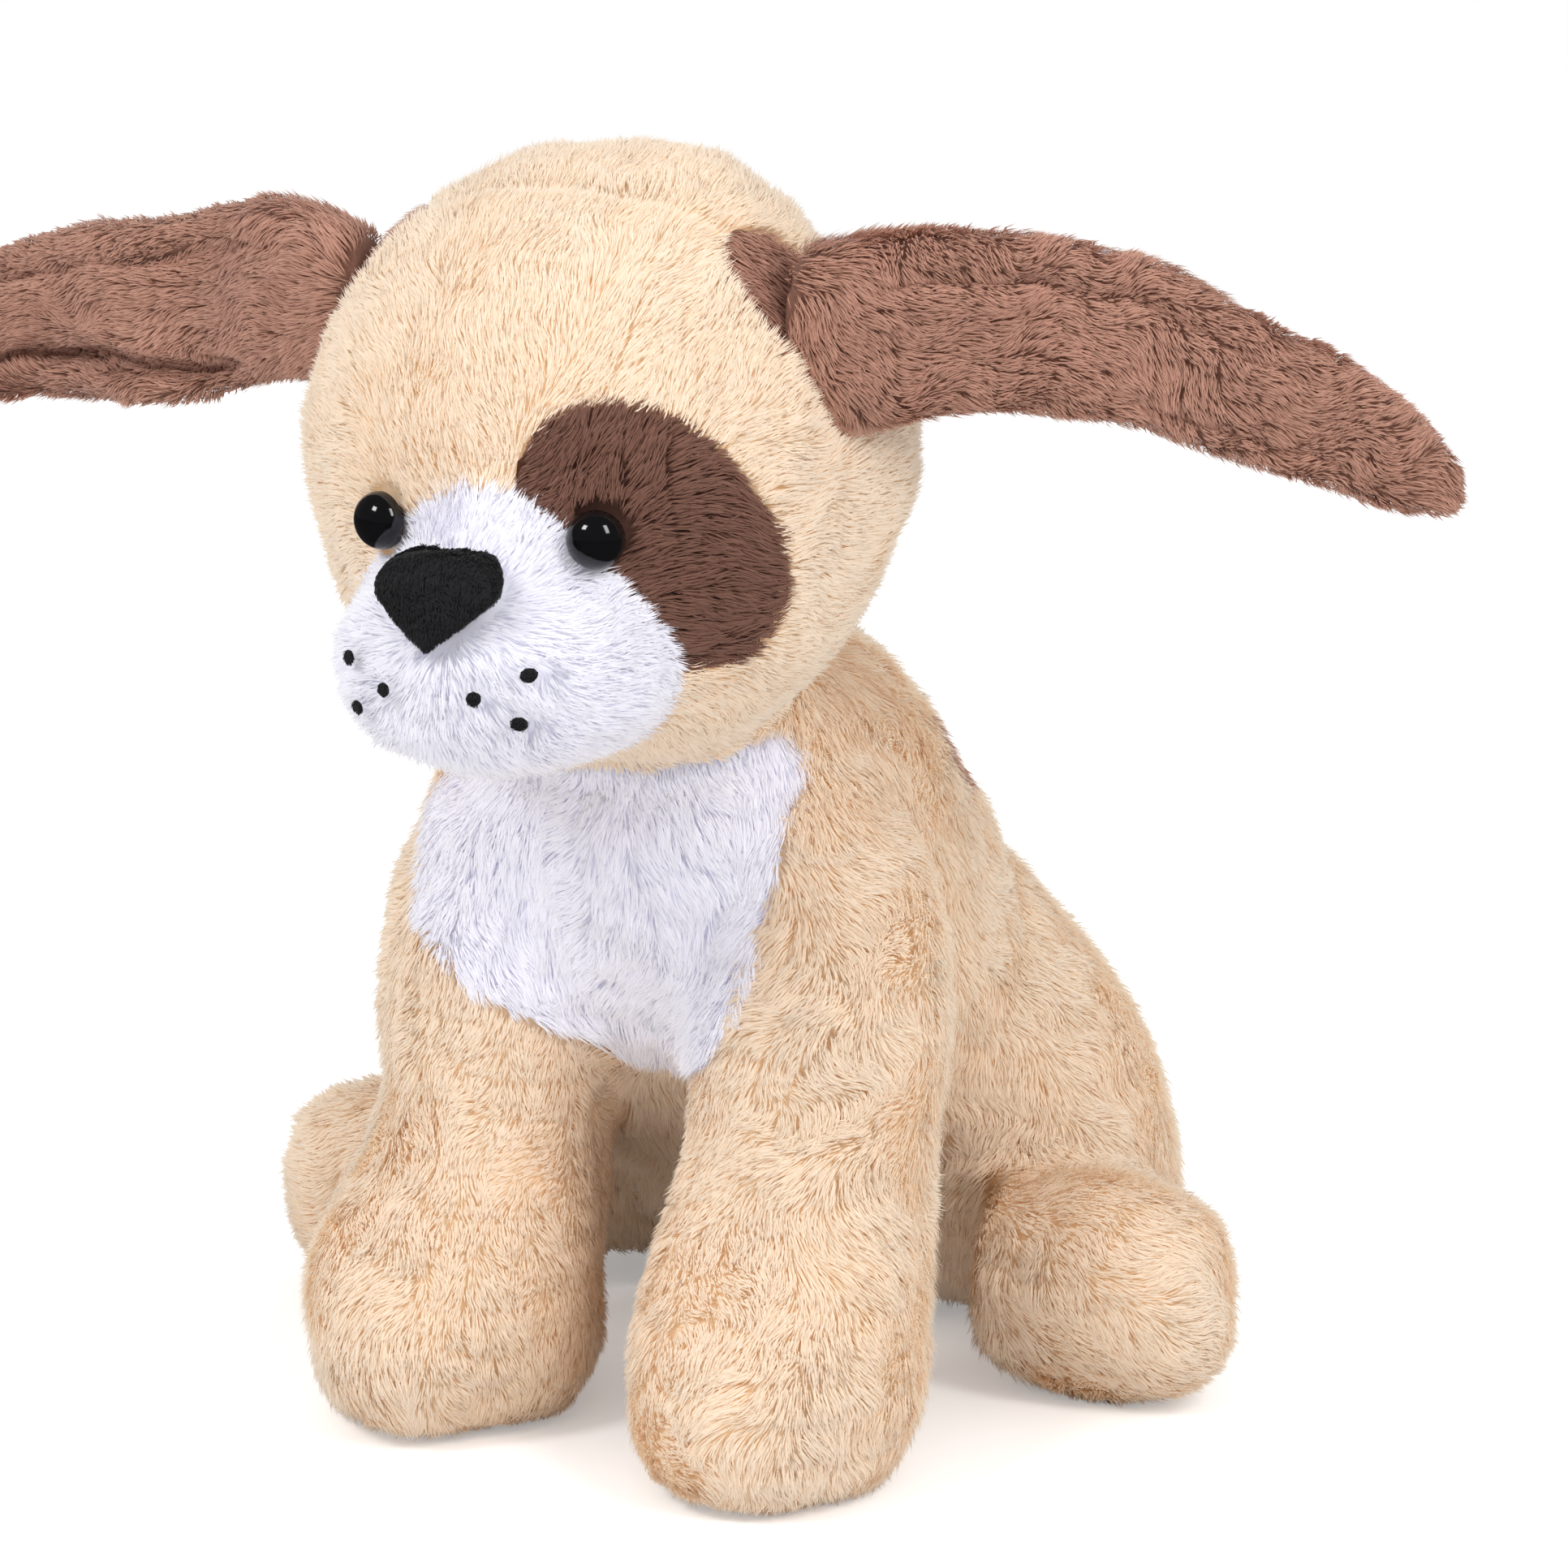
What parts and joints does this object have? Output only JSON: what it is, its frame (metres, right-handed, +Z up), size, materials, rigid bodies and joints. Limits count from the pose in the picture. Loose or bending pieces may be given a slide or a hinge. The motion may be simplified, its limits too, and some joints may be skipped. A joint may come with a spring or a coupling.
{
  "type": "interactive plush pet",
  "caption": "Sitting plush puppy with long ears that a motor flaps, a squeeze switch in one hind paw and a battery box behind a flap in its back.",
  "frame": {"origin": "on the floor, in the middle of the flat under the seat of the body", "axes": "+Z up, the puppy faces -Y, and its left side is +X, where its longest extent lies from ear tip to ear tip"},
  "size_m": [0.3602, 0.2759, 0.2817],
  "materials": {
    "cream_pile": "matte",
    "brown_pile": "matte",
    "white_pile": "matte",
    "black_thread": "satin",
    "black_eye": "gloss",
    "hook_loop_tape": "matte",
    "box_plastic": "satin",
    "case_plastic": "satin",
    "gear_plastic": "satin",
    "steel": "satin",
    "cell_metal": "satin",
    "board": "satin"
  },
  "bodies": {
    "puppy": {"back_spot": "brown_pile", "battery_box": "box_plastic", "battery_cells": "cell_metal", "battery_contacts": "steel", "battery_door": "box_plastic", "body": "cream_pile", "chest_bib": "white_pile", "circuit_board": "board", "door_screw": "steel", "ear_motor": "steel", "ear_root_left": "brown_pile", "ear_root_right": "brown_pile", "eye_left": "black_eye", "eye_patch": "brown_pile", "eye_right": "black_eye", "eye_washer_left": "case_plastic", "eye_washer_right": "case_plastic", "flap_loop_tape": "hook_loop_tape", "freckles_left": "black_thread", "freckles_right": "black_thread", "front_leg_left": "cream_pile", "front_leg_right": "cream_pile", "gear_pins": "steel", "gearbox_front": "case_plastic", "gearbox_rear": "case_plastic", "gearbox_screws": "steel", "haunch_left": "cream_pile", "haunch_right": "cream_pile", "head": "cream_pile", "hind_foot_left": "cream_pile", "hind_foot_right": "cream_pile", "muzzle": "white_pile", "nose": "black_thread", "paw_spring": "steel", "paw_switch": "case_plastic", "sound_housing": "box_plastic", "speaker": "steel", "tail": "cream_pile"},
    "ear_left": {"ear_left": "brown_pile", "ear_paddle_left": "case_plastic", "ear_gear_left": "gear_plastic"},
    "ear_right": {"ear_right": "brown_pile", "ear_paddle_right": "case_plastic", "ear_gear_right": "gear_plastic"},
    "idler_left": {"idler_left": "gear_plastic"},
    "idler_right": {"idler_right": "gear_plastic"},
    "drive_gear": {"drive_gear": "gear_plastic"},
    "first_gear": {"first_gear": "gear_plastic"},
    "motor_rotor": {"motor_pinion": "steel"},
    "access_flap": {"access_flap": "cream_pile", "flap_hook_tape": "hook_loop_tape"},
    "power_switch": {"power_switch": "box_plastic"},
    "paw_button": {"paw_button": "gear_plastic"}
  },
  "joints": [
    {"name": "ear_left_flap", "type": "hinge", "parent": "puppy", "child": "ear_left", "pos_m": [0.036, -0.128, 0.243], "axis": [0, -1, 0], "range_deg": [-18, 30], "deforming": ["ear_root_left"]},
    {"name": "ear_right_flap", "type": "hinge", "parent": "puppy", "child": "ear_right", "pos_m": [-0.036, -0.128, 0.243], "axis": [0, 1, 0], "range_deg": [-18, 30], "deforming": ["ear_root_right"]},
    {"name": "idler_left_turn", "type": "hinge", "parent": "puppy", "child": "idler_left", "pos_m": [0.0095, -0.128, 0.243], "axis": [0, -1, 0], "range_deg": [-55, 34]},
    {"name": "idler_right_turn", "type": "hinge", "parent": "puppy", "child": "idler_right", "pos_m": [-0.0095, -0.128, 0.243], "axis": [0, -1, 0], "range_deg": [-34, 55]},
    {"name": "drive_gear_turn", "type": "hinge", "parent": "puppy", "child": "drive_gear", "pos_m": [0.00638, -0.128, 0.22833], "axis": [0, -1, 0], "range_deg": [-57, 94]},
    {"name": "first_gear_turn", "type": "hinge", "parent": "puppy", "child": "first_gear", "pos_m": [-0.00726, -0.128, 0.22045], "axis": [0, -1, 0], "range_deg": [-288, 173]},
    {"name": "motor_turn", "type": "hinge", "parent": "puppy", "child": "motor_rotor", "pos_m": [0.00354, -0.128, 0.21139], "axis": [0, -1, 0], "range_deg": [-564, 940]},
    {"name": "access_flap_hinge", "type": "hinge", "parent": "puppy", "child": "access_flap", "pos_m": [0, 0.01319, 0.12118], "axis": [1, 0, 0], "range_deg": [0, 115]},
    {"name": "power_switch_slide", "type": "slide", "parent": "puppy", "child": "power_switch", "axis": [-1, 0, 0], "range_m": [0, 0.004]},
    {"name": "paw_squeeze", "type": "slide", "parent": "puppy", "child": "paw_button", "axis": [0, 0, -1], "range_m": [0, 0.002], "stiffness_N_per_m": 1200, "deforming": ["paw_spring"]}
  ],
  "couplings": [
    {"joint": "ear_right_flap", "follows": "ear_left_flap", "ratio": 1},
    {"joint": "idler_left_turn", "follows": "ear_left_flap", "ratio": -1.7895},
    {"joint": "idler_right_turn", "follows": "ear_left_flap", "ratio": 1.7895},
    {"joint": "drive_gear_turn", "follows": "ear_left_flap", "ratio": 3.0909},
    {"joint": "first_gear_turn", "follows": "ear_left_flap", "ratio": -9.5537},
    {"joint": "motor_turn", "follows": "ear_left_flap", "ratio": 31.267}
  ]
}
